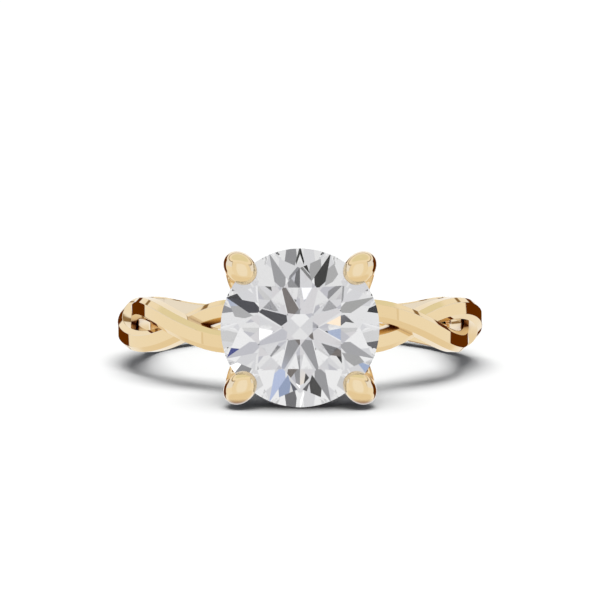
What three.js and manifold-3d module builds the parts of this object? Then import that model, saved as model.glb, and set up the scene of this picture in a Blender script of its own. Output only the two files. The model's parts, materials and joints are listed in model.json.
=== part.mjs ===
// Solitaire ring with a twisted shank: two strands that cross over each other, a plain back,
// four prongs and a round brilliant stone. Millimetres, +Z up, resting on its side on z = 0,
// with the stone towards -Y.
import * as THREE from 'three';
import { mergeVertices } from 'three/addons/utils/BufferGeometryUtils.js';
import Module from 'manifold-3d';

const wasm = await Module();
wasm.setup();

// Shank. The finger hole is the widest round bar that passes through the ring.
const BORE_RADIUS = 8.27;
const STRAND_THICKNESS = 1.06;
const STRAND_WIDTH = 1.16;
const STRAND_FILLET = 0.26;
const STRAND_LIFT = 0.78;
const STRAND_GAP = 0.64;
const STRAND_STEPS = 132;

// Half the height between the strands' middles where they lie side by side.
const STRAND_SPREAD = (STRAND_WIDTH + STRAND_GAP) / 2;

// Radius of the gentle curve across the inside of the shank, which eases it over a knuckle.
const INNER_ROUND = 8.5;

// Plain back that the two strands run into.
const BACK_WIDTH = 1.9;
const BACK_THICKNESS = 1.3;
const BACK_FILLET = 0.15;
const BACK_STEPS = 32;
const BACK_START_SHARE = 0.55;

// Course of one strand, by the angle from the stone. Turn counts quarter turns of the twist,
// spread is a share of STRAND_SPREAD, lift of STRAND_LIFT and wide of STRAND_WIDTH.
const TWIST = [
  { angle: 0, turn: 0, spread: 1, lift: 1, wide: 1 },
  { angle: 15, turn: 0.09, spread: 1, lift: 1, wide: 1 },
  { angle: 25, turn: 0.28, spread: 1, lift: 1, wide: 1 },
  { angle: 35, turn: 0.69, spread: 1, lift: 1, wide: 1 },
  { angle: 42, turn: 1, spread: 1, lift: 1, wide: 1 },
  { angle: 56, turn: 1.61, spread: 1, lift: 1, wide: 1 },
  { angle: 92, turn: 3, spread: 1, lift: 1, wide: 1 },
  { angle: 118, turn: 4, spread: 0.79, lift: 1, wide: 1.26 },
  { angle: 138, turn: 4, spread: 0.5, lift: 0.3, wide: 1.05 },
  { angle: 150, turn: 4, spread: 0.43, lift: 0, wide: 1 },
];
const BACK_START = 134;
const BACK_FULL = 152;

// Stone: a round brilliant.
const STONE_DIAMETER = 8.1;
const TABLE_SHARE = 0.55;
const CROWN_ANGLE = 34.5;
const PAVILION_ANGLE = 40.9;
const GIRDLE_THICKNESS = 0.28;
const STAR_SHARE = 0.5;
const LOWER_HALF_SHARE = 0.77;
const GIRDLE_STEPS = 1;
const CULET_CLEARANCE = 0.38;

// Head: four prongs that stand on the strands, joined by a rail under the stone.
const PRONG_BASE_X = 2.9;
const PRONG_REACH = 0.28;
const PRONG_TIP_LENGTH = 1.92;
const PRONG_TIP_WIDTH = 1.54;
const PRONG_STEM_WIDTH = 1.05;
const PRONG_RISE = 1.12;
const PRONG_SIDES = 14;
const PRONG_NOD = 0.16;
const DOME_POWER = 3;
const DOME_TOP = 86;
const DOME_STEPS = 6;
const RAIL_THICKNESS = 0.62;
const RAIL_SIDES = 8;
const SEAT_GAP = 0.25;

// Prong sections from foot to where the domed tip begins: along is the share of the prong's
// height, out the share of its outward lean, length and wide the sides as shares of the tip's.
const PRONG_SECTIONS = [
  { along: 0, out: 0, length: 0.62, wide: 0.74 },
  { along: 0.28, out: 0.32, length: 0.6, wide: 0.72 },
  { along: 0.6, out: 0.76, length: 0.84, wide: 0.94 },
  { along: 0.78, out: 1, length: 1, wide: 1 },
];

const GOLD = { color: 0xe6c283, roughness: 0.12, metalness: 1 };
const DIAMOND = { color: 0xf4f6f8, roughness: 0.02, metalness: 0 };

const STONE_RADIUS = STONE_DIAMETER / 2;
const STRAND_RADIUS = BORE_RADIUS + (STRAND_THICKNESS + STRAND_LIFT) / 2;
const BACK_RADIUS = BORE_RADIUS + BACK_THICKNESS / 2;
const PAVILION_DEPTH = STONE_RADIUS * Math.tan(THREE.MathUtils.degToRad(PAVILION_ANGLE));
const GIRDLE_REACH = STRAND_RADIUS + CULET_CLEARANCE + PAVILION_DEPTH + GIRDLE_THICKNESS / 2;

// Ring coordinates: x to the right, u along the finger, v towards the stone.
const place = (x, u, v) => new THREE.Vector3(x, -v, u);

// A point at an angle round the finger from the stone, at a radius and a height.
const around = (angle, radius, height) =>
  place(radius * Math.sin(angle), height, radius * Math.cos(angle));

// Smooth curve through one column of a table, with level ends and no overshoot.
function course(table, column, angle) {
  const keys = table.map((row) => row.angle);
  const at = Math.min(Math.max(angle, keys[0]), keys[keys.length - 1]);
  const i = Math.min(keys.filter((key) => key <= at).length, keys.length - 1) - 1;
  const rise = table.slice(1).map((row, j) => (row[column] - table[j][column]) / (row.angle - keys[j]));
  const slope = (j) => {
    if (j === 0 || j === keys.length - 1 || rise[j - 1] * rise[j] <= 0) return 0;
    return (2 * rise[j - 1] * rise[j]) / (rise[j - 1] + rise[j]);
  };
  const span = keys[i + 1] - keys[i];
  const t = (at - keys[i]) / span;
  const ends = [2 * t ** 3 - 3 * t ** 2 + 1, t ** 2 * (3 - 2 * t)];
  const leans = [t ** 3 - 2 * t ** 2 + t, t ** 3 - t ** 2];
  const level = ends[0] * table[i][column] + ends[1] * table[i + 1][column];
  return level + span * (leans[0] * slope(i) + leans[1] * slope(i + 1));
}

// Centre and width of a strand: side is 1 for the one that is upper at the stone, -1 for the other.
function strandCentre(side, angle) {
  const degrees = THREE.MathUtils.radToDeg(Math.abs(angle));
  const phase = (Math.sign(angle) * course(TWIST, 'turn', degrees) * Math.PI) / 2;
  const spread = STRAND_SPREAD * course(TWIST, 'spread', degrees);
  const lift = course(TWIST, 'lift', degrees);
  const twisted = STRAND_RADIUS + (side * STRAND_LIFT * Math.sin(phase)) / 2;
  return {
    height: side * spread * Math.cos(phase),
    radius: THREE.MathUtils.lerp(BACK_RADIUS, twisted, lift),
    width: STRAND_WIDTH * course(TWIST, 'wide', degrees),
  };
}

// How far an inner point of the shank is set back at a height from the ring's middle plane.
const setBack = (out, height) => (out < 0 ? height ** 2 / (2 * INNER_ROUND) : 0);

// Closed outline of a bar: across and out from its middle, with its outer corners cut off.
function barOutline(width, thickness, fillet) {
  return [
    { across: -width / 2, out: -thickness / 2 },
    { across: width / 2, out: -thickness / 2 },
    { across: width / 2, out: thickness / 2 - fillet },
    { across: width / 2 - fillet, out: thickness / 2 },
    { across: fillet - width / 2, out: thickness / 2 },
    { across: -width / 2, out: thickness / 2 - fillet },
  ];
}

// Closed skin through rings of points, with flat ends unless the rings close on themselves.
function loft(rings, endless = false) {
  const sides = rings[0].length;
  const points = rings.flat();
  const index = [];
  const spans = endless ? rings.length : rings.length - 1;
  for (let i = 0; i < spans; i += 1) {
    const here = i * sides;
    const next = ((i + 1) % rings.length) * sides;
    for (let j = 0; j < sides; j += 1) {
      const k = (j + 1) % sides;
      index.push(here + j, here + k, next + k, here + j, next + k, next + j);
    }
  }
  if (!endless) {
    const last = (rings.length - 1) * sides;
    for (let j = 1; j < sides - 1; j += 1) {
      index.push(0, j + 1, j, last, last + j, last + j + 1);
    }
  }
  return outward(new THREE.BufferGeometry().setFromPoints(points).setIndex(index));
}

// Turns a closed skin's faces out, if they face in.
function outward(geometry) {
  const at = geometry.getAttribute('position');
  const index = Array.from(geometry.getIndex().array);
  const corner = (i) => new THREE.Vector3().fromBufferAttribute(at, index[i]);
  let volume = 0;
  for (let i = 0; i < index.length; i += 3) {
    volume += corner(i).dot(corner(i + 1).cross(corner(i + 2)));
  }
  return volume < 0 ? geometry.setIndex(index.reverse()) : geometry;
}

function strand(side) {
  const reach = THREE.MathUtils.degToRad(TWIST[TWIST.length - 1].angle);
  const nudge = reach / STRAND_STEPS / 4;
  const rings = [];
  for (let i = 0; i <= STRAND_STEPS; i += 1) {
    const angle = reach * ((2 * i) / STRAND_STEPS - 1);
    const { height, radius, width } = strandCentre(side, angle);
    const outline = barOutline(width, STRAND_THICKNESS, STRAND_FILLET);
    const climb = strandCentre(side, angle + nudge).height - strandCentre(side, angle - nudge).height;
    const slope = Math.atan2(climb, 2 * nudge * STRAND_RADIUS);
    rings.push(outline.map(({ across, out }) => {
      const turned = angle - (across * Math.sin(slope)) / STRAND_RADIUS;
      const level = height + across * Math.cos(slope);
      return around(turned, radius + out + setBack(out, level), level);
    }));
  }
  return loft(rings);
}

// The plain back: it grows out of the strands where they close, and is full size behind.
function plainBack() {
  const start = THREE.MathUtils.degToRad(BACK_START);
  const full = THREE.MathUtils.degToRad(BACK_FULL);
  const rings = [];
  for (let i = 0; i <= BACK_STEPS; i += 1) {
    const angle = THREE.MathUtils.lerp(start, 2 * Math.PI - start, i / BACK_STEPS);
    const fromStone = Math.min(angle, 2 * Math.PI - angle);
    const grown = THREE.MathUtils.smoothstep(fromStone, start, full);
    const size = THREE.MathUtils.lerp(BACK_START_SHARE, 1, grown);
    const outline = barOutline(BACK_WIDTH * size, BACK_THICKNESS * size, BACK_FILLET);
    rings.push(outline.map(({ across, out }) =>
      around(angle, BACK_RADIUS + out + setBack(out, across), across)));
  }
  return loft(rings);
}

// Round brilliant with flat facets: the stone's axis is v, its girdle's middle at GIRDLE_REACH.
// Size is 1 for the stone itself, and a little more for the space that the metal leaves round it.
function brilliant(size = 1) {
  const eighth = Math.PI / 4;
  const crown = crownFacets();
  const pavilion = pavilionFacets();
  const faces = [];
  const on = ([distance, azimuth, rise]) => place(
    size * distance * Math.cos(azimuth),
    size * distance * Math.sin(azimuth),
    GIRDLE_REACH + size * rise,
  );
  const table = [];
  for (let i = 0; i < 8; i += 1) {
    const main = (i + 0.5) * eighth;
    const next = main + eighth;
    const middle = main + eighth / 2;
    const girdleArc = (half, from, to) => Array.from({ length: GIRDLE_STEPS + 1 }, (_, j) => {
      const azimuth = THREE.MathUtils.lerp(from, to, j / GIRDLE_STEPS);
      return [STONE_RADIUS, azimuth, half(Math.abs(azimuth - middle))];
    });
    table.push(crown.corner(main));
    faces.push([crown.corner(main), crown.tip(main - eighth / 2), crown.foot(main), crown.tip(middle)]);
    faces.push([crown.corner(main), crown.tip(middle), crown.corner(next)]);
    faces.push([pavilion.culet, pavilion.tip(main - eighth / 2), pavilion.foot(main), pavilion.tip(middle)]);
    for (const [from, to] of [[main, middle], [middle, next]]) {
      const top = girdleArc(crown.edge, from, to);
      const bottom = girdleArc(pavilion.edge, from, to);
      faces.push([crown.tip(middle), ...top]);
      faces.push([pavilion.tip(middle), ...bottom]);
      for (let j = 0; j < GIRDLE_STEPS; j += 1) faces.push([top[j], top[j + 1], bottom[j + 1], bottom[j]]);
    }
  }
  faces.push(table);
  return facetedSkin(faces.map((face) => face.map(on)));
}

// Crown points as distance from the axis, azimuth and rise above the girdle's middle.
function crownFacets() {
  const pitch = Math.tan(THREE.MathUtils.degToRad(CROWN_ANGLE));
  const rim = GIRDLE_THICKNESS / 2;
  const corner = TABLE_SHARE * STONE_RADIUS;
  const side = corner * Math.cos(Math.PI / 8);
  const tipAt = THREE.MathUtils.lerp(side, STONE_RADIUS, STAR_SHARE);
  const tipRise = rim + (STONE_RADIUS - tipAt * Math.cos(Math.PI / 8)) * pitch;
  return {
    corner: (azimuth) => [corner, azimuth, rim + (STONE_RADIUS - corner) * pitch],
    tip: (azimuth) => [tipAt, azimuth, tipRise],
    foot: (azimuth) => [STONE_RADIUS, azimuth, rim],
    edge: halfFacetEdge(rim, tipAt, tipRise),
  };
}

// Pavilion points, in the same way, down to the culet.
function pavilionFacets() {
  const pitch = Math.tan(THREE.MathUtils.degToRad(PAVILION_ANGLE));
  const rim = -GIRDLE_THICKNESS / 2;
  const tipAt = STONE_RADIUS * (1 - LOWER_HALF_SHARE);
  const tipRise = rim - (STONE_RADIUS - tipAt * Math.cos(Math.PI / 8)) * pitch;
  return {
    culet: [0, 0, rim - PAVILION_DEPTH],
    tip: (azimuth) => [tipAt, azimuth, tipRise],
    foot: (azimuth) => [STONE_RADIUS, azimuth, rim],
    edge: halfFacetEdge(rim, tipAt, tipRise),
  };
}

// Where the plane of a half facet, through its tip and two rim points, meets the girdle's round.
function halfFacetEdge(rim, tipAt, tipRise) {
  const quarter = Math.PI / 8;
  const chord = STONE_RADIUS * Math.cos(quarter / 2);
  const slope = (tipRise - rim) / (tipAt * Math.cos(quarter / 2) - chord);
  return (fromMiddle) => rim + (STONE_RADIUS * Math.cos(fromMiddle - quarter / 2) - chord) * slope;
}

// Closed skin from flat faces, each given by its corners in order.
function facetedSkin(faces) {
  const triangles = [];
  for (const face of faces) {
    const heart = face.reduce((sum, point) => sum.add(point), new THREE.Vector3()).divideScalar(face.length);
    const away = heart.clone().sub(place(0, 0, GIRDLE_REACH));
    for (let i = 1; i < face.length - 1; i += 1) {
      const normal = face[i].clone().sub(face[0]).cross(face[i + 1].clone().sub(face[0]));
      const ordered = normal.dot(away) > 0 ? [face[0], face[i], face[i + 1]] : [face[0], face[i + 1], face[i]];
      triangles.push(...ordered);
    }
  }
  return mergeVertices(new THREE.BufferGeometry().setFromPoints(triangles), 1e-4);
}

// Centre line of a prong: from its strand up and out to beside the girdle.
function prongCentre(rightLeft, upDown, along, out) {
  const footReach = Math.sqrt(STRAND_RADIUS ** 2 - PRONG_BASE_X ** 2);
  const tip = (STONE_RADIUS + PRONG_REACH) * Math.SQRT1_2;
  return place(
    rightLeft * THREE.MathUtils.lerp(PRONG_BASE_X, tip, out),
    upDown * THREE.MathUtils.lerp(STRAND_SPREAD, tip, out),
    THREE.MathUtils.lerp(footReach, GIRDLE_REACH + PRONG_RISE, along),
  );
}

// Sections of a prong's domed tip. Nod is the share of PRONG_NOD that it leans to the stone.
function domeSections() {
  const { along } = PRONG_SECTIONS[PRONG_SECTIONS.length - 1];
  return Array.from({ length: DOME_STEPS }, (_, i) => {
    const turn = THREE.MathUtils.degToRad((DOME_TOP * (i + 1)) / DOME_STEPS);
    const size = Math.cos(turn) ** (2 / DOME_POWER);
    const nod = Math.sin(turn) ** (2 / DOME_POWER);
    return { along: THREE.MathUtils.lerp(along, 1, nod), out: 1, length: size, wide: size, nod };
  });
}

function prong(rightLeft, upDown) {
  const stem = PRONG_STEM_WIDTH / PRONG_TIP_WIDTH / PRONG_SECTIONS[1].wide;
  const sections = [...PRONG_SECTIONS, ...domeSections()];
  return loft(sections.map(({ along, out, length, wide, nod = 0 }) => {
    const slim = THREE.MathUtils.lerp(stem, 1, along);
    const inwards = PRONG_NOD * nod * Math.SQRT1_2;
    const centre = prongCentre(rightLeft, upDown, along, out);
    centre.sub(place(rightLeft * inwards, upDown * inwards, 0));
    return Array.from({ length: PRONG_SIDES }, (_, j) => {
      const turn = (2 * Math.PI * j) / PRONG_SIDES;
      const outwards = (PRONG_TIP_LENGTH * length * slim * Math.cos(turn)) / 2;
      const sideways = (PRONG_TIP_WIDTH * wide * slim * Math.sin(turn)) / 2;
      const x = (outwards - sideways) * Math.SQRT1_2;
      const u = (outwards + sideways) * Math.SQRT1_2;
      return centre.clone().add(place(rightLeft * x, upDown * u, 0));
    });
  }));
}

// Square rail of round bar through the middles of the four prongs, below the stone.
function rail() {
  const { along, out } = PRONG_SECTIONS[1];
  return loft([[1, 1], [-1, 1], [-1, -1], [1, -1]].map(([rightLeft, upDown]) => {
    const corner = prongCentre(rightLeft, upDown, along, out);
    return Array.from({ length: RAIL_SIDES }, (_, j) => {
      const turn = (2 * Math.PI * (j + 0.5)) / RAIL_SIDES;
      const outwards = (RAIL_THICKNESS / 2) * Math.cos(turn);
      const towardsStone = (RAIL_THICKNESS / 2) * Math.sin(turn);
      return corner.clone().add(place(rightLeft * outwards, upDown * outwards, towardsStone));
    });
  }), true);
}

function solid(geometry) {
  const bare = mergeVertices(geometry, 1e-4);
  return new wasm.Manifold(new wasm.Mesh({
    numProp: 3,
    vertProperties: new Float32Array(bare.getAttribute('position').array),
    triVerts: new Uint32Array(bare.getIndex().array),
  }));
}

function skin(shape) {
  const mesh = shape.getMesh();
  const geometry = new THREE.BufferGeometry();
  geometry.setAttribute('position', new THREE.BufferAttribute(mesh.vertProperties, mesh.numProp));
  geometry.setIndex(new THREE.BufferAttribute(mesh.triVerts, 1));
  return geometry;
}

// Strands, back and head are cast and soldered together, so they are one solid.
function goldBody() {
  const corners = [[1, 1], [1, -1], [-1, 1], [-1, -1]];
  const pieces = [strand(1), strand(-1), plainBack(), rail(), ...corners.map((corner) => prong(...corner))];
  const joined = pieces.map(solid).reduce((whole, piece) => whole.add(piece));
  return skin(joined.subtract(solid(brilliant(1 + SEAT_GAP / STONE_RADIUS))));
}

// Tilt at which the head and the back touch the ground together.
function restingTilt(geometries) {
  const points = geometries.flatMap((geometry) => {
    const at = geometry.getAttribute('position');
    return Array.from({ length: at.count }, (_, i) => new THREE.Vector3().fromBufferAttribute(at, i));
  });
  const lowest = (tilt, front) => points.filter((point) => point.y < 0 === front)
    .reduce((low, point) => Math.min(low, point.z * Math.cos(tilt) - point.y * Math.sin(tilt)), Infinity);
  let [low, high] = [0, Math.PI / 4];
  for (let i = 0; i < 50; i += 1) {
    const tilt = (low + high) / 2;
    if (lowest(tilt, true) < lowest(tilt, false)) low = tilt;
    else high = tilt;
  }
  return low;
}

function part(name, geometry, finish) {
  geometry.computeVertexNormals();
  const mesh = new THREE.Mesh(geometry, new THREE.MeshStandardMaterial(finish));
  mesh.name = name;
  return mesh;
}

const gold = goldBody();
const stone = brilliant();
const leaning = new THREE.Group();
leaning.add(part('shank_and_head', gold, GOLD), part('round_stone', stone, DIAMOND));
leaning.rotation.x = -restingTilt([gold, stone]);

const ring = new THREE.Group();
ring.add(leaning);
ring.updateMatrixWorld(true);
const reach = new THREE.Box3().setFromObject(ring, true);
const middle = reach.getCenter(new THREE.Vector3());
leaning.position.set(-middle.x, -middle.y, -reach.min.z);

export default ring;
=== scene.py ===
"""Looks of the twisted shank ring: polished yellow gold and a round brilliant, lying on a pale floor."""
import bpy
import json
import math
from mathutils import Matrix, Vector
from mathutils.bvhtree import BVHTree
from mathutils.interpolate import poly_3d_calc


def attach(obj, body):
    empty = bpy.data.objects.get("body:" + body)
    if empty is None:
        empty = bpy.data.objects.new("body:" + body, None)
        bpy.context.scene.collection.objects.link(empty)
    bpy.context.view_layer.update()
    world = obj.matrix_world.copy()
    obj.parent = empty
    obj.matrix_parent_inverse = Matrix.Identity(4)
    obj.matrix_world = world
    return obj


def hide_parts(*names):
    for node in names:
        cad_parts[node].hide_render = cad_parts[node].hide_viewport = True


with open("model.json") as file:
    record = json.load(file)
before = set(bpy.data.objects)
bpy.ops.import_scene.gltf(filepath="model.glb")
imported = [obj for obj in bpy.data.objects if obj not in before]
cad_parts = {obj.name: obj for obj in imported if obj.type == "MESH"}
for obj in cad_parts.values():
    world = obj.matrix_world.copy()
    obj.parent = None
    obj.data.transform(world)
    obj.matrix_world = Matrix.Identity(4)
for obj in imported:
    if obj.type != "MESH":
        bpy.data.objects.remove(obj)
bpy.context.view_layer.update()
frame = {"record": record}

MM = 0.001

# Shank, in millimetres, as in the part's source.
BORE_RADIUS = 8.27
STRAND_THICKNESS = 1.06
STRAND_WIDTH = 1.16
STRAND_CHAMFER = 0.26
STRAND_LIFT = 0.78
STRAND_GAP = 0.64
BACK_WIDTH = 1.9
BACK_THICKNESS = 1.3
BACK_CHAMFER = 0.15
BACK_START_SHARE = 0.55
INNER_CHAMFER = 0.08
INNER_ROUND = 8.5
EDGE_ROUND = 0.06
BACK_START = 134
BACK_FULL = 152

# Course of one strand: angle from the stone, quarter turns of the twist, and shares of
# STRAND_SPREAD, STRAND_LIFT and STRAND_WIDTH.
TWIST = [
    {"angle": 0, "turn": 0, "spread": 1, "lift": 1, "wide": 1},
    {"angle": 15, "turn": 0.09, "spread": 1, "lift": 1, "wide": 1},
    {"angle": 25, "turn": 0.28, "spread": 1, "lift": 1, "wide": 1},
    {"angle": 35, "turn": 0.69, "spread": 1, "lift": 1, "wide": 1},
    {"angle": 42, "turn": 1, "spread": 1, "lift": 1, "wide": 1},
    {"angle": 56, "turn": 1.61, "spread": 1, "lift": 1, "wide": 1},
    {"angle": 92, "turn": 3, "spread": 1, "lift": 1, "wide": 1},
    {"angle": 118, "turn": 4, "spread": 0.79, "lift": 1, "wide": 1.26},
    {"angle": 138, "turn": 4, "spread": 0.5, "lift": 0.3, "wide": 1.05},
    {"angle": 150, "turn": 4, "spread": 0.43, "lift": 0, "wide": 1},
]

# Stone and head.
STONE_RADIUS = 4.05
TABLE_SHARE = 0.55
CROWN_ANGLE = math.radians(34.5)
PAVILION_ANGLE = math.radians(40.9)
GIRDLE_THICKNESS = 0.28
STAR_SHARE = 0.5
LOWER_HALF_SHARE = 0.77
CULET_CLEARANCE = 0.38
PRONG_BASE_X = 2.9
PRONG_REACH = 0.28
PRONG_TIP_LENGTH = 1.92
PRONG_TIP_WIDTH = 1.54
PRONG_STEM_WIDTH = 1.05
PRONG_RISE = 1.12
RAIL_THICKNESS = 0.62
PRONG_NOD = 0.16
DOME_POWER = 3
SEAT_GAP = 0.02

# Prong sections from foot to domed tip: shares of the prong's height, outward lean, length, width.
PRONG_SECTIONS = [
    {"along": 0, "out": 0, "length": 0.62, "wide": 0.74},
    {"along": 0.28, "out": 0.32, "length": 0.6, "wide": 0.72},
    {"along": 0.6, "out": 0.76, "length": 0.84, "wide": 0.94},
    {"along": 0.78, "out": 1, "length": 1, "wide": 1},
]

# Fineness of the meshes.
STRAND_STEPS = 480
BACK_STEPS = 160
EDGE_STEPS = 3
INNER_STEPS = 6
PRONG_STEPS = 32
DOME_STEPS = 36
DOME_TOP = 89.5
PRONG_SIDES = 48
RAIL_SIDES = 20
RIM_STEPS = 6

STRAND_SPREAD = (STRAND_WIDTH + STRAND_GAP) / 2
STRAND_RADIUS = BORE_RADIUS + (STRAND_THICKNESS + STRAND_LIFT) / 2
BACK_RADIUS = BORE_RADIUS + BACK_THICKNESS / 2
PAVILION_DEPTH = STONE_RADIUS * math.tan(PAVILION_ANGLE)
GIRDLE_REACH = STRAND_RADIUS + CULET_CLEARANCE + PAVILION_DEPTH + GIRDLE_THICKNESS / 2


def ring_place():
    """Where the ring's own coordinates lie in the frame, read from its flat back face."""
    mount = frame["record"]["mounts"][0]
    down = Vector(mount["axis"])
    tilt = math.atan2(-down.y, -down.z)
    turn = Matrix.Rotation(-tilt, 4, "X")
    face_middle = BORE_RADIUS + (BACK_THICKNESS - BACK_CHAMFER) / 2
    on_face = Vector((0, face_middle, -BACK_WIDTH / 2)) * MM
    return Matrix.Translation(Vector(mount["pos_m"]) - turn @ on_face) @ turn @ Matrix.Scale(MM, 4)


RING = ring_place()


def place(x, u, v):
    """Ring coordinates: x to the right, u along the finger, v towards the stone."""
    return Vector((x, -v, u))


def around(angle, radius, height):
    return place(radius * math.sin(angle), height, radius * math.cos(angle))


def lerp(a, b, t):
    return a + (b - a) * t


def smoothstep(x, low, high):
    t = min(max((x - low) / (high - low), 0), 1)
    return t * t * (3 - 2 * t)


def course(table, key, column, at):
    """Smooth curve through one column of a table, with level ends and no overshoot."""
    keys = [row[key] for row in table]
    at = min(max(at, keys[0]), keys[-1])
    i = min(sum(k <= at for k in keys), len(keys) - 1) - 1
    rise = [(b[column] - a[column]) / (b[key] - a[key]) for a, b in zip(table, table[1:])]

    def slope(j):
        if j == 0 or j == len(keys) - 1 or rise[j - 1] * rise[j] <= 0:
            return 0
        return 2 * rise[j - 1] * rise[j] / (rise[j - 1] + rise[j])

    span = keys[i + 1] - keys[i]
    t = (at - keys[i]) / span
    return (
        (2 * t**3 - 3 * t**2 + 1) * table[i][column]
        + (t**3 - 2 * t**2 + t) * span * slope(i)
        + t**2 * (3 - 2 * t) * table[i + 1][column]
        + (t**3 - t**2) * span * slope(i + 1)
    )


def strand_centre(side, angle):
    """Height and radius of a strand's centre line. Side is 1 for the strand that is upper at the stone."""
    degrees = math.degrees(abs(angle))
    phase = math.copysign(course(TWIST, "angle", "turn", degrees) * math.pi / 2, angle)
    spread = STRAND_SPREAD * course(TWIST, "angle", "spread", degrees)
    lift = course(TWIST, "angle", "lift", degrees)
    twisted = STRAND_RADIUS + side * STRAND_LIFT * math.sin(phase) / 2
    return side * spread * math.cos(phase), lerp(BACK_RADIUS, twisted, lift)


def set_back(out, height):
    """How far an inner point of the shank is set back at a height from the ring's middle plane."""
    return height**2 / (2 * INNER_ROUND) if out < 0 else 0


def bar_outline(width, thickness, chamfer):
    """Outline of a bar with chamfered, softly rounded corners: (across, out) points and outward rays."""
    corners = [(1, -1, INNER_CHAMFER), (1, 1, chamfer), (-1, 1, chamfer), (-1, -1, INNER_CHAMFER)]
    inset = EDGE_ROUND * math.tan(math.pi / 8)
    outline = []
    for i, (across, out, cut) in enumerate(corners):
        by_side = (across * (width / 2 - EDGE_ROUND), out * (thickness / 2 - cut - inset))
        by_face = (across * (width / 2 - cut - inset), out * (thickness / 2 - EDGE_ROUND))
        for half, centre in enumerate((by_side, by_face) if i % 2 else (by_face, by_side)):
            for j in range(EDGE_STEPS + 1):
                turn = math.pi / 4 * (2 * (i - 1) + half + j / EDGE_STEPS)
                ray = (math.cos(turn), math.sin(turn))
                outline.append((centre[0] + EDGE_ROUND * ray[0], centre[1] + EDGE_ROUND * ray[1], ray))
    inner_edge = outline[-1][0]
    for j in range(1, INNER_STEPS):
        outline.append((inner_edge * (1 - 2 * j / INNER_STEPS), -thickness / 2, (0, -1)))
    return outline


class Skin:
    """A closed mesh through rings of points, with exact shading normals."""

    def __init__(self, rings, normals, endless=False):
        sides = len(rings[0])
        self.points = [p for ring in rings for p in ring]
        self.normals = [n for ring in normals for n in ring]
        self.faces = []
        spans = len(rings) if endless else len(rings) - 1
        for i in range(spans):
            here, nxt = i * sides, (i + 1) % len(rings) * sides
            for j in range(sides):
                k = (j + 1) % sides
                self.faces.append((here + j, here + k, nxt + k, nxt + j))
        if not endless:
            last = (len(rings) - 1) * sides
            self.faces.append(tuple(range(sides - 1, -1, -1)))
            self.faces.append(tuple(range(last, last + sides)))
        if self.volume() < 0:
            self.faces = [face[::-1] for face in self.faces]

    def volume(self):
        total = 0
        for face in self.faces:
            a = self.points[face[0]]
            for b, c in zip(face[1:], face[2:]):
                total += a.dot(self.points[b].cross(self.points[c]))
        return total

    def tree(self):
        return BVHTree.FromPolygons(self.points, self.faces)

    def normal_at(self, tree, point):
        _, _, index, _ = tree.find_nearest(point)
        face = self.faces[index]
        weights = poly_3d_calc([self.points[i] for i in face], point)
        return sum((self.normals[i] * w for i, w in zip(face, weights)), Vector()).normalized()


def square_to(normal, along):
    along = along.normalized()
    return (normal - along * normal.dot(along)).normalized()


def strand(side):
    reach = math.radians(TWIST[-1]["angle"])
    nudge = reach / STRAND_STEPS

    def ring_at(angle):
        height, radius = strand_centre(side, angle)
        width = STRAND_WIDTH * course(TWIST, "angle", "wide", math.degrees(abs(angle)))
        outline = bar_outline(width, STRAND_THICKNESS, STRAND_CHAMFER)
        climb = strand_centre(side, angle + nudge)[0] - strand_centre(side, angle - nudge)[0]
        slope = math.atan2(climb, 2 * nudge * STRAND_RADIUS)
        points, rays = [], []
        for across, out, ray in outline:
            turned = angle - across * math.sin(slope) / STRAND_RADIUS
            level = height + across * math.cos(slope)
            points.append(around(turned, radius + out + set_back(out, level), level))
            sideways = around(turned + math.pi / 2, -math.sin(slope), math.cos(slope))
            easing = place(0, max(-ray[1], 0) * level / INNER_ROUND, 0)
            rays.append(sideways * ray[0] + around(turned, 1, 0) * ray[1] + easing)
        return points, rays

    rings, normals = [], []
    for i in range(STRAND_STEPS + 1):
        angle = reach * (2 * i / STRAND_STEPS - 1)
        points, rays = ring_at(angle)
        ahead, behind = ring_at(angle + nudge)[0], ring_at(angle - nudge)[0]
        rings.append(points)
        normals.append([square_to(r, a - b) for r, a, b in zip(rays, ahead, behind)])
    return Skin(rings, normals)


def plain_back():
    start, full = math.radians(BACK_START), math.radians(BACK_FULL)
    rings, normals = [], []
    for i in range(BACK_STEPS + 1):
        angle = lerp(start, 2 * math.pi - start, i / BACK_STEPS)
        size = lerp(BACK_START_SHARE, 1, smoothstep(min(angle, 2 * math.pi - angle), start, full))
        outline = bar_outline(BACK_WIDTH * size, BACK_THICKNESS * size, BACK_CHAMFER)
        ring, row = [], []
        for across, out, ray in outline:
            ring.append(around(angle, BACK_RADIUS + out + set_back(out, across), across))
            easing = place(0, max(-ray[1], 0) * across / INNER_ROUND, 0)
            row.append((around(angle, ray[1], ray[0]) + easing).normalized())
        rings.append(ring)
        normals.append(row)
    return Skin(rings, normals)


def prong_centre(right_left, up_down, along, out):
    foot_reach = math.sqrt(STRAND_RADIUS**2 - PRONG_BASE_X**2)
    tip = (STONE_RADIUS + PRONG_REACH) * math.sqrt(0.5)
    return place(
        right_left * lerp(PRONG_BASE_X, tip, out),
        up_down * lerp(STRAND_SPREAD, tip, out),
        lerp(foot_reach, GIRDLE_REACH + PRONG_RISE, along),
    )


def grid_normals(rings):
    """Normals of a smooth skin from the lines of its grid."""
    normals = []
    sides = len(rings[0])
    for i, ring in enumerate(rings):
        before, after = rings[max(i - 1, 0)], rings[min(i + 1, len(rings) - 1)]
        heart = sum(ring, Vector()) / sides
        row = []
        for j, point in enumerate(ring):
            along = after[j] - before[j]
            across = ring[(j + 1) % sides] - ring[j - 1]
            normal = across.cross(along).normalized()
            row.append(normal if normal.dot(point - heart) > 0 else -normal)
        normals.append(row)
    return normals


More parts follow.
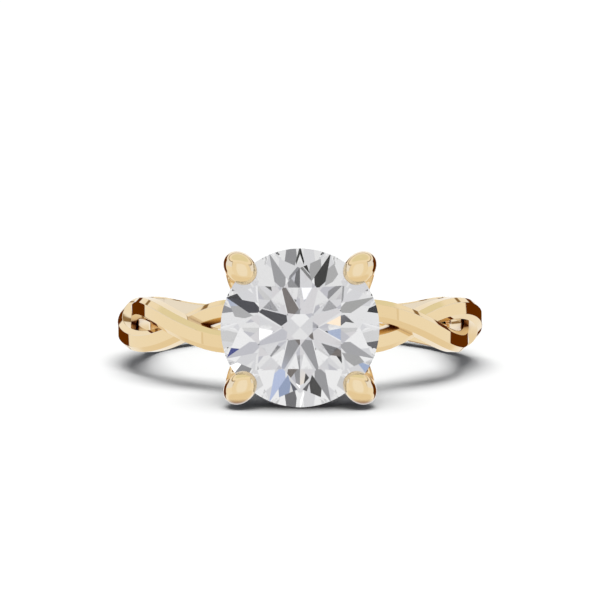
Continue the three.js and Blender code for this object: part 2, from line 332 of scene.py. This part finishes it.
def prong_sections():
    """Along, out, nod, length and wide of a prong's sections, from its foot to its domed tip."""
    dome = PRONG_SECTIONS[-1]["along"]
    sections = []
    for i in range(PRONG_STEPS + 1):
        along = dome * i / PRONG_STEPS
        out, length, wide = (course(PRONG_SECTIONS, "along", c, along) for c in ("out", "length", "wide"))
        sections.append((along, out, 0, length, wide))
    for i in range(1, DOME_STEPS + 1):
        turn = math.radians(DOME_TOP * i / DOME_STEPS)
        size, nod = math.cos(turn) ** (2 / DOME_POWER), math.sin(turn) ** (2 / DOME_POWER)
        sections.append((lerp(dome, 1, nod), 1, nod, size, size))
    return sections


def prong(right_left, up_down):
    stem = PRONG_STEM_WIDTH / PRONG_TIP_WIDTH / PRONG_SECTIONS[1]["wide"]
    rings = []
    for along, out, nod, length, wide in prong_sections():
        slim = lerp(stem, 1, along)
        inwards = PRONG_NOD * nod * math.sqrt(0.5)
        centre = prong_centre(right_left, up_down, along, out)
        centre -= place(right_left * inwards, up_down * inwards, 0)
        ring = []
        for j in range(PRONG_SIDES):
            turn = 2 * math.pi * j / PRONG_SIDES
            outwards = PRONG_TIP_LENGTH * length * slim * math.cos(turn) / 2
            sideways = PRONG_TIP_WIDTH * wide * slim * math.sin(turn) / 2
            x, u = (outwards - sideways) * math.sqrt(0.5), (outwards + sideways) * math.sqrt(0.5)
            ring.append(centre + place(right_left * x, up_down * u, 0))
        rings.append(ring)
    return Skin(rings, grid_normals(rings))


def rail():
    row = PRONG_SECTIONS[1]
    rings, normals = [], []
    for right_left, up_down in ((1, 1), (-1, 1), (-1, -1), (1, -1)):
        corner = prong_centre(right_left, up_down, row["along"], row["out"])
        rays = []
        for j in range(RAIL_SIDES):
            turn = 2 * math.pi * (j + 0.5) / RAIL_SIDES
            rays.append(place(right_left * math.cos(turn), up_down * math.cos(turn), math.sin(turn)))
        rings.append([corner + ray * RAIL_THICKNESS / 2 for ray in rays])
        normals.append([ray.normalized() for ray in rays])
    return Skin(rings, normals, endless=True)


def mesh_object(name, points, faces):
    mesh = bpy.data.meshes.new(name)
    mesh.from_pydata([tuple(p) for p in points], [], faces)
    mesh.update()
    obj = bpy.data.objects.new(name, mesh)
    bpy.context.scene.collection.objects.link(obj)
    return obj


def brilliant_faces(size=1):
    """Flat facets of the round brilliant as lists of corners, outward."""
    eighth = math.pi / 4
    half = math.cos(eighth / 2)
    rim = GIRDLE_THICKNESS / 2
    corner = TABLE_SHARE * STONE_RADIUS
    star = lerp(corner * half, STONE_RADIUS, STAR_SHARE)
    lower = STONE_RADIUS * (1 - LOWER_HALF_SHARE)
    crown_pitch, pavilion_pitch = math.tan(CROWN_ANGLE), math.tan(PAVILION_ANGLE)

    def on(distance, azimuth, rise):
        return place(
            size * distance * math.cos(azimuth),
            size * distance * math.sin(azimuth),
            GIRDLE_REACH + size * rise,
        )

    def table_corner(a):
        return on(corner, a, rim + (STONE_RADIUS - corner) * crown_pitch)

    def star_tip(a):
        return on(star, a, rim + (STONE_RADIUS - star * half) * crown_pitch)

    def lower_tip(a):
        return on(lower, a, -rim - (STONE_RADIUS - lower * half) * pavilion_pitch)

    def rim_line(tip, start, end):
        """A half facet's edge on the round girdle, from one of its corners to the other."""
        normal = (start[1] - tip).cross(end[1] - tip)
        up = on(0, 0, 1) - on(0, 0, 0)
        line = [start[1]]
        for j in range(1, RIM_STEPS):
            level = on(STONE_RADIUS, lerp(start[0], end[0], j / RIM_STEPS), 0)
            line.append(level - up * normal.dot(level - tip) / normal.dot(up))
        return line + [end[1]]

    culet = on(0, 0, -rim - PAVILION_DEPTH)
    faces = [[table_corner((i + 0.5) * eighth) for i in range(8)]]
    for i in range(8):
        main = (i + 0.5) * eighth
        before, after = main - eighth / 2, main + eighth / 2
        top, bottom = on(STONE_RADIUS, main, rim), on(STONE_RADIUS, main, -rim)
        faces.append([table_corner(main), star_tip(before), top, star_tip(after)])
        faces.append([table_corner(main), star_tip(after), table_corner(main + eighth)])
        faces.append([culet, lower_tip(before), bottom, lower_tip(after)])
        for side in (before, after):
            side_top, side_bottom = on(STONE_RADIUS, side, rim), on(STONE_RADIUS, side, -rim)
            upper = rim_line(star_tip(side), (main, top), (side, side_top))
            under = rim_line(lower_tip(side), (main, bottom), (side, side_bottom))
            faces += [[star_tip(side)] + upper, [lower_tip(side)] + under]
            for j in range(RIM_STEPS):
                faces.append([upper[j], upper[j + 1], under[j + 1], under[j]])
    heart = place(0, 0, GIRDLE_REACH)
    outward = []
    for face in faces:
        normal = (face[1] - face[0]).cross(face[2] - face[0])
        outward.append(face if normal.dot(face[0] - heart) > 0 else face[::-1])
    return outward


def faceted(faces):
    """Points and faces of a closed skin, with corners that meet shared."""
    points, seen, indexed = [], {}, []
    for face in faces:
        row = []
        for corner in face:
            key = tuple(round(c, 5) for c in corner)
            if key not in seen:
                seen[key] = len(points)
                points.append(corner)
            row.append(seen[key])
        indexed.append(row)
    return points, indexed


def apply_boolean(obj, other, operation):
    modifier = obj.modifiers.new("join", "BOOLEAN")
    modifier.object = other
    modifier.operation = operation
    modifier.solver = "MANIFOLD"
    modifier.material_mode = "TRANSFER"
    depsgraph = bpy.context.evaluated_depsgraph_get()
    result = bpy.data.meshes.new_from_object(obj.evaluated_get(depsgraph))
    obj.modifiers.clear()
    obj.data = result
    bpy.data.objects.remove(other)


def corner_normals(obj, skins):
    """Normals as on the skin that each face came from; faces of the stone's seat stay flat."""
    mesh = obj.data
    trees = [skin.tree() for skin in skins]
    normals = []
    for polygon in mesh.polygons:
        source = int(mesh.materials[polygon.material_index]["source"])
        for index in polygon.loop_indices:
            if source < 0:
                normals.append(polygon.normal.copy())
                continue
            point = mesh.vertices[mesh.loops[index].vertex_index].co
            normals.append(skins[source].normal_at(trees[source], point))
    return normals


def gold_body():
    """Strands, back, rail and prongs joined into one skin, cut to the stone."""
    corners = [(1, 1), (1, -1), (-1, 1), (-1, -1)]
    skins = [strand(1), strand(-1), plain_back(), rail()] + [prong(*c) for c in corners]
    cutter = faceted(brilliant_faces(1 + SEAT_GAP / STONE_RADIUS))
    parts = []
    for source, (points, faces) in enumerate([(s.points, s.faces) for s in skins] + [cutter]):
        obj = mesh_object(f"part_{source}", points, faces)
        tag = bpy.data.materials.new(f"source_{source}")
        tag["source"] = source if source < len(skins) else -1
        obj.data.materials.append(tag)
        parts.append(obj)
    body = parts[0]
    for other in parts[1:-1]:
        apply_boolean(body, other, "UNION")
    apply_boolean(body, parts[-1], "DIFFERENCE")
    normals = corner_normals(body, skins)
    mesh = body.data
    tags = list(mesh.materials)
    mesh.materials.clear()
    for polygon in mesh.polygons:
        polygon.material_index = 0
        polygon.use_smooth = True
    mesh.normals_split_custom_set([tuple(n) for n in normals])
    for tag in tags:
        bpy.data.materials.remove(tag)
    mesh.transform(RING)
    body.name = mesh.name = "gold_ring"
    return body


def node(tree, kind, **values):
    made = tree.nodes.new(kind)
    for name, value in values.items():
        if name in made.inputs:
            made.inputs[name].default_value = value
        else:
            setattr(made, name, value)
    return made


# Gold: its colour in the open, the painted shade that darkens it in narrow recesses, and the spread of its
# polish. Shares of open sky give where the painted shade is at its darkest and where it ends; the scales
# count clouds in a metre.
GOLD_COLOUR = (0.86, 0.68, 0.41, 1)
GOLD_ROUGHNESS = (0.02, 0.06)
GOLD_CLOUDS = 900
# Painted shade: the dark brown that the gold's colour turns to in narrow recesses and where parts meet.
RECESS_PAINTED_SHADE = (0.22, 0.07, 0.005, 1)
PAINTED_SHADE_REACH = 0.9 * MM
PAINTED_SHADE_OPEN = (0.2, 0.6)
PAINTED_SHADE_SAMPLES = 8

# Stone: its faint clouds, how strongly it bends light, and how much of a mirror its facets are.
STONE_CLEAR = (0.91, 0.91, 0.91, 1)
STONE_CLOUDED = (0.84, 0.84, 0.85, 1)
STONE_CLOUDS = 500
DIAMOND_IOR = 2.42
FACET_MIRROR = (0.05, 0.05, 0.05, 1)


def gold_finish():
    """Polished yellow gold, with the faint unevenness that a polishing wheel leaves, and painted shade in
    its recesses.
    """
    material = bpy.data.materials.new("polished_gold")
    material.use_nodes = True
    tree = material.node_tree
    shader = tree.nodes["Principled BSDF"]
    shader.inputs["Metallic"].default_value = 1
    where = node(tree, "ShaderNodeTexCoord")
    cloud = node(tree, "ShaderNodeTexNoise", Scale=GOLD_CLOUDS, Detail=3)
    tree.links.new(where.outputs["Object"], cloud.inputs["Vector"])
    rough = node(tree, "ShaderNodeMapRange")
    rough.inputs["To Min"].default_value, rough.inputs["To Max"].default_value = GOLD_ROUGHNESS
    tree.links.new(cloud.outputs["Fac"], rough.inputs["Value"])
    tree.links.new(rough.outputs["Result"], shader.inputs["Roughness"])
    # Painted shade: ambient occlusion turns the gold's colour towards dark brown in crevices between parts.
    painted_shade_probe = node(tree, "ShaderNodeAmbientOcclusion", Distance=PAINTED_SHADE_REACH, samples=PAINTED_SHADE_SAMPLES)
    unshaded_share = node(tree, "ShaderNodeMapRange")
    bounds = (unshaded_share.inputs["From Min"], unshaded_share.inputs["From Max"])
    bounds[0].default_value, bounds[1].default_value = PAINTED_SHADE_OPEN
    tree.links.new(painted_shade_probe.outputs["AO"], unshaded_share.inputs["Value"])
    colour = blend_colour(tree, unshaded_share.outputs["Result"], RECESS_PAINTED_SHADE, GOLD_COLOUR)
    tree.links.new(colour, shader.inputs["Base Color"])
    return material


def diamond_finish():
    """Clear, strongly bending stone with a quiet mirror on its facets and a faint cloud in it."""
    material = bpy.data.materials.new("diamond")
    material.use_nodes = True
    tree = material.node_tree
    shader = tree.nodes["Principled BSDF"]
    where = node(tree, "ShaderNodeTexCoord")
    cloud = node(tree, "ShaderNodeTexNoise", Scale=STONE_CLOUDS, Detail=2)
    tree.links.new(where.outputs["Object"], cloud.inputs["Vector"])
    colour = blend_colour(tree, cloud.outputs["Fac"], STONE_CLEAR, STONE_CLOUDED)
    tree.links.new(colour, shader.inputs["Base Color"])
    shader.inputs["Roughness"].default_value = 0
    shader.inputs["IOR"].default_value = DIAMOND_IOR
    shader.inputs["Transmission Weight"].default_value = 1
    shader.inputs["Specular Tint"].default_value = FACET_MIRROR
    return material


# Camera: at the photo's height over the ring's middle plane, looking almost along that plane.
CAMERA_DISTANCE = 150
CAMERA_HEIGHT = 1.42
CAMERA_PITCH = math.radians(0.49)
FOCAL_PIXELS = 2940
PICTURE_PIXELS = 600
SENSOR = 36
NEAREST = 0.01
FARTHEST = 10

# Floor: its reach to each side in metres, and its colour.
FLOOR_REACH = 2
FLOOR_COLOUR = (0.9, 0.9, 0.9, 1)

# How often light may bounce between mirrors, and in all on its way through the stone.
MIRROR_BOUNCES = 16
STONE_BOUNCES = 32


def make_camera():
    data = bpy.data.cameras.new("camera")
    camera = bpy.data.objects.new("camera", data)
    bpy.context.scene.collection.objects.link(camera)
    back = place(0, math.sin(CAMERA_PITCH), math.cos(CAMERA_PITCH))
    up = place(0, math.cos(CAMERA_PITCH), -math.sin(CAMERA_PITCH))
    spot = place(0, 0, GIRDLE_REACH) + back * CAMERA_DISTANCE + up * CAMERA_HEIGHT
    turn = RING.to_3x3().normalized()
    axes = Matrix([turn @ place(1, 0, 0), turn @ up, turn @ back]).transposed()
    camera.matrix_world = Matrix.Translation(RING @ spot) @ axes.to_4x4()
    data.sensor_width = SENSOR
    data.lens = FOCAL_PIXELS / PICTURE_PIXELS * SENSOR
    data.clip_start = NEAREST
    data.clip_end = FARTHEST
    bpy.context.scene.camera = camera


def make_floor():
    corners = [(x * FLOOR_REACH, y * FLOOR_REACH, 0) for x, y in ((-1, -1), (1, -1), (1, 1), (-1, 1))]
    floor = mesh_object("floor", corners, [(0, 1, 2, 3)])
    material = bpy.data.materials.new("floor")
    material.use_nodes = True
    shader = material.node_tree.nodes["Principled BSDF"]
    shader.inputs["Base Color"].default_value = FLOOR_COLOUR
    shader.inputs["Roughness"].default_value = 1
    shader.inputs["Specular IOR Level"].default_value = 0
    floor.data.materials.append(material)
    floor.visible_glossy = False
    floor.visible_transmission = False


# What the polished gold mirrors, by direction: azimuth from the stone's side of the ring (left is
# below zero) and elevation over the ring's own plane, in degrees, with the softness of the edges.
# Later rows lie over earlier ones.
STUDIO = [
    {"left": -51, "right": 51, "low": -30, "high": 34, "soft": 3, "colour": (0.95, 0.93, 0.88, 1)},
    {"left": -17, "right": 17, "low": -22, "high": 22, "soft": 10, "colour": (1, 1.04, 1.14, 1)},
    {"left": -181, "right": 181, "low": 50, "high": 86, "soft": 6, "colour": (0.86, 0.88, 0.77, 1)},
    {"left": -181, "right": 181, "low": -91, "high": -32, "soft": 10, "colour": (0.9, 0.84, 0.73, 1)},
    {"left": -53, "right": -51, "low": -14, "high": 10, "soft": 1, "colour": (0.85, 0.79, 0.68, 1)},
    {"left": 51, "right": 53, "low": -14, "high": 10, "soft": 1, "colour": (0.85, 0.79, 0.68, 1)},
    {"left": -54, "right": -51, "low": 10, "high": 34, "soft": 1, "colour": (0.4, 0.28, 0.13, 1)},
    {"left": 51, "right": 54, "low": 10, "high": 34, "soft": 1, "colour": (0.4, 0.28, 0.13, 1)},
    {"left": -129, "right": -54, "low": 4, "high": 33, "soft": 2, "colour": (0.93, 1.02, 1.3, 1)},
    {"left": 54, "right": 129, "low": 4, "high": 33, "soft": 2, "colour": (0.93, 1.02, 1.3, 1)},
    {"left": -181, "right": -54, "low": 32, "high": 36, "soft": 1, "colour": (0.3, 0.2, 0.1, 1)},
    {"left": 54, "right": 181, "low": 32, "high": 36, "soft": 1, "colour": (0.3, 0.2, 0.1, 1)},
    {"left": -166, "right": -131, "low": -14, "high": 20, "soft": 1.5, "colour": (0.125, 0.03, 0.0, 1)},
    {"left": 122, "right": 166, "low": -14, "high": 20, "soft": 1.5, "colour": (0.125, 0.03, 0.0, 1)},
]
GOLD_SURROUND = (0.98, 0.98, 0.98, 1)

# What is seen through the stone, in the same way.
STONE_STUDIO = [
    {"left": -181, "right": 181, "low": 18, "high": 91, "soft": 2, "colour": (0.82, 0.82, 0.82, 1)},
    {"left": -181, "right": 181, "low": -91, "high": -17, "soft": 2, "colour": (0.88, 0.88, 0.88, 1)},
    {"left": 0, "right": 16, "low": -13, "high": 17, "soft": 1, "colour": (0.74, 0.73, 0.74, 1)},
    {"left": -16, "right": 0, "low": -13, "high": 17, "soft": 1, "colour": (0.62, 0.62, 0.65, 1)},
    {"left": -14.5, "right": -8, "low": 1, "high": 6.5, "soft": 1, "colour": (0.14, 0.14, 0.15, 1)},
    {"left": -8, "right": -5, "low": 12.5, "high": 16, "soft": 1, "colour": (0.28, 0.26, 0.25, 1)},
    {"left": -6, "right": -3.5, "low": 8, "high": 11.5, "soft": 1, "colour": (0.44, 0.44, 0.45, 1)},
    {"left": 3.5, "right": 6.5, "low": -1, "high": 12, "soft": 1, "colour": (0.1, 0.1, 0.1, 1)},
    {"left": 1, "right": 3.5, "low": 4, "high": 7, "soft": 1, "colour": (0.22, 0.22, 0.22, 1)},
    {"left": -5, "right": -1.5, "low": -11, "high": -7, "soft": 1, "colour": (0.56, 0.62, 0.78, 1)},
    {"left": 1.5, "right": 6, "low": -13, "high": -7, "soft": 1, "colour": (0.42, 0.42, 0.43, 1)},
    {"left": 6.5, "right": 11, "low": -7, "high": -3, "soft": 1, "colour": (0.48, 0.48, 0.49, 1)},
    {"left": -10, "right": -2, "low": -15.5, "high": -11, "soft": 1, "colour": (0.4, 0.4, 0.41, 1)},
    {"left": 8, "right": 12, "low": 1, "high": 4, "soft": 1, "colour": (0.48, 0.48, 0.47, 1)},
    {"left": 19.5, "right": 22.5, "low": -9, "high": -5, "soft": 1, "colour": (0.14, 0.14, 0.14, 1)},
    {"left": -23, "right": -19, "low": -9, "high": -5, "soft": 1, "colour": (0.4, 0.46, 0.6, 1)},
    {"left": -24, "right": -20, "low": 3, "high": 6, "soft": 1, "colour": (0.14, 0.16, 0.36, 1)},
    {"left": 19, "right": 23, "low": 7, "high": 10, "soft": 1, "colour": (0.48, 0.48, 0.48, 1)},
    {"left": 28, "right": 34.5, "low": 4, "high": 10, "soft": 1, "colour": (0.08, 0.08, 0.08, 1)},
    {"left": 36, "right": 40, "low": 5, "high": 9, "soft": 1, "colour": (0.42, 0.42, 0.43, 1)},
    {"left": -40, "right": -31, "low": 4, "high": 16.5, "soft": 1, "colour": (0.38, 0.38, 0.39, 1)},
    {"left": 28, "right": 36, "low": -9, "high": -6, "soft": 1, "colour": (0.22, 0.22, 0.23, 1)},
    {"left": -31, "right": -28, "low": -9, "high": -6, "soft": 1, "colour": (0.2, 0.21, 0.24, 1)},
    {"left": -38, "right": -31, "low": -16, "high": -12, "soft": 1, "colour": (0.25, 0.25, 0.26, 1)},
    {"left": -34, "right": -26, "low": -22, "high": -17, "soft": 1, "colour": (1.2, 1.2, 1.2, 1)},
    {"left": 26, "right": 33, "low": -21, "high": -17, "soft": 1, "colour": (0.46, 0.53, 0.68, 1)},
    {"left": -33, "right": -30, "low": 21, "high": 27, "soft": 1, "colour": (0.03, 0.03, 0.03, 1)},
    {"left": 29, "right": 33, "low": 21, "high": 27, "soft": 1, "colour": (0.12, 0.12, 0.12, 1)},
    {"left": 30.5, "right": 34, "low": 16.3, "high": 18, "soft": 1, "colour": (1.05, 0.9, 0.72, 1)},
    {"left": -16, "right": -12, "low": 17.5, "high": 20.5, "soft": 1, "colour": (0.12, 0.12, 0.12, 1)},
    {"left": -12, "right": -5, "low": 18, "high": 23, "soft": 1, "colour": (0.52, 0.52, 0.52, 1)},
    {"left": 20, "right": 26, "low": 31, "high": 34, "soft": 1, "colour": (1.05, 1.05, 1.08, 1)},
    {"left": -22, "right": -11, "low": -38, "high": -31, "soft": 1, "colour": (0.68, 0.68, 0.68, 1)},
    {"left": 11, "right": 22, "low": -38, "high": -31, "soft": 1, "colour": (0.72, 0.72, 0.72, 1)},
    {"left": -70, "right": -58, "low": -14, "high": -8, "soft": 2, "colour": (0.32, 0.32, 0.34, 1)},
    {"left": 58, "right": 70, "low": -14, "high": -8, "soft": 2, "colour": (0.28, 0.28, 0.28, 1)},
    {"left": 46, "right": 58, "low": -54, "high": -46, "soft": 2, "colour": (0.38, 0.38, 0.38, 1)},
]
STONE_SURROUND = (0.74, 0.74, 0.75, 1)
STONE_CONTRAST = 1.35
STONE_GAIN = 1.13

# What the camera sees behind the floor, the studio's share in lighting dull things, and the overhead
# light with its width in the sky and its lean to the front.
WHITE = (1, 1, 1, 1)
FILL_LIGHT = 0.29
SUN_STRENGTH = 2.85
SUN_WIDTH = math.radians(50)
SUN_LEAN = math.radians(3)


def calc(tree, operation, *values):
    """Output of a Math node; each value is a number or another node's output."""
    made = tree.nodes.new("ShaderNodeMath")
    made.operation = operation
    for socket, value in zip(made.inputs, values):
        if isinstance(value, (int, float)):
            socket.default_value = value
        else:
            tree.links.new(value, socket)
    return made.outputs[0]


def blend_colour(tree, share, under, over):
    made = tree.nodes.new("ShaderNodeMix")
    made.data_type = "RGBA"
    for socket, value in ((made.inputs[0], share), (made.inputs[6], under), (made.inputs[7], over)):
        if isinstance(value, tuple):
            socket.default_value = value
        else:
            tree.links.new(value, socket)
    return made.outputs[2]


def between(tree, value, low, high, soft):
    """1 between two bounds and 0 outside, with soft edges."""
    rise = tree.nodes.new("ShaderNodeMapRange")
    rise.interpolation_type = "SMOOTHSTEP"
    fall = tree.nodes.new("ShaderNodeMapRange")
    fall.interpolation_type = "SMOOTHSTEP"
    for made, edge, ends in ((rise, low, (0, 1)), (fall, high, (1, 0))):
        tree.links.new(value, made.inputs["Value"])
        made.inputs["From Min"].default_value = edge - soft / 2
        made.inputs["From Max"].default_value = edge + soft / 2
        made.inputs["To Min"].default_value, made.inputs["To Max"].default_value = ends
    return calc(tree, "MULTIPLY", rise.outputs[0], fall.outputs[0])


def studio_colour(tree, azimuth, elevation, surround, patches):
    colour = surround
    for row in patches:
        across = between(tree, azimuth, row["left"], row["right"], row["soft"])
        upright = between(tree, elevation, row["low"], row["high"], row["soft"])
        colour = blend_colour(tree, calc(tree, "MULTIPLY", across, upright), colour, row["colour"])
    return colour


def along_axis(tree, direction, axis):
    """How far a direction goes along one of the ring's own axes."""
    made = tree.nodes.new("ShaderNodeVectorMath")
    made.operation = "DOT_PRODUCT"
    tree.links.new(direction, made.inputs[0])
    made.inputs[1].default_value = (RING.to_3x3() @ axis).normalized()
    return made.outputs["Value"]


def make_world():
    """Pale studio with dark cards behind the ring; diffuse light from it is only a fill."""
    world = bpy.data.worlds.new("studio")
    bpy.context.scene.world = world
    world.use_nodes = True
    tree = world.node_tree
    direction = tree.nodes.new("ShaderNodeTexCoord").outputs["Generated"]
    right, along, forward = (along_axis(tree, direction, place(*axis)) for axis in Matrix.Identity(3))
    azimuth = calc(tree, "DEGREES", calc(tree, "ARCTAN2", right, forward))
    elevation = calc(tree, "DEGREES", calc(tree, "ARCSINE", along))
    path = tree.nodes.new("ShaderNodeLightPath")
    mirrored = studio_colour(tree, azimuth, elevation, GOLD_SURROUND, STUDIO)
    through = studio_colour(tree, azimuth, elevation, STONE_SURROUND, STONE_STUDIO)
    harder = node(tree, "ShaderNodeGamma", Gamma=STONE_CONTRAST)
    tree.links.new(through, harder.inputs["Color"])
    reached = blend_colour(tree, path.outputs["Is Transmission Ray"], mirrored, harder.outputs["Color"])
    seen = blend_colour(tree, path.outputs["Is Camera Ray"], reached, WHITE)
    background = tree.nodes["Background"]
    tree.links.new(seen, background.inputs["Color"])
    fill = calc(tree, "MULTIPLY", path.outputs["Is Diffuse Ray"], FILL_LIGHT - 1)
    gain = calc(tree, "MULTIPLY", path.outputs["Is Transmission Ray"], STONE_GAIN - 1)
    strength = calc(tree, "ADD", calc(tree, "ADD", fill, gain), 1)
    tree.links.new(strength, background.inputs["Strength"])


def overhead_light():
    """Wide soft light from above and a little in front, which only the floor and other dull things take."""
    data = bpy.data.lights.new("overhead", "SUN")
    data.energy = SUN_STRENGTH
    data.angle = SUN_WIDTH
    light = bpy.data.objects.new("overhead", data)
    light.rotation_euler.x = SUN_LEAN
    bpy.context.scene.collection.objects.link(light)
    light.visible_glossy = False
    light.visible_transmission = False


make_camera()
gold = gold_body()
gold.data.materials.append(gold_finish())
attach(gold, "root")
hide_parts("shank_and_head")
gold.visible_transmission = False

stone_points, stone_faces = faceted(brilliant_faces())
stone = mesh_object("diamond", [RING @ p for p in stone_points], stone_faces)
stone.data.materials.append(diamond_finish())
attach(stone, "root")
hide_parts("round_stone")

make_floor()
make_world()
overhead_light()
bpy.context.scene.view_settings.view_transform = "Standard"
cycles = bpy.context.scene.cycles
cycles.caustics_reflective = False
cycles.caustics_refractive = False
cycles.max_bounces = STONE_BOUNCES
cycles.transmission_bounces = STONE_BOUNCES
cycles.glossy_bounces = MIRROR_BOUNCES
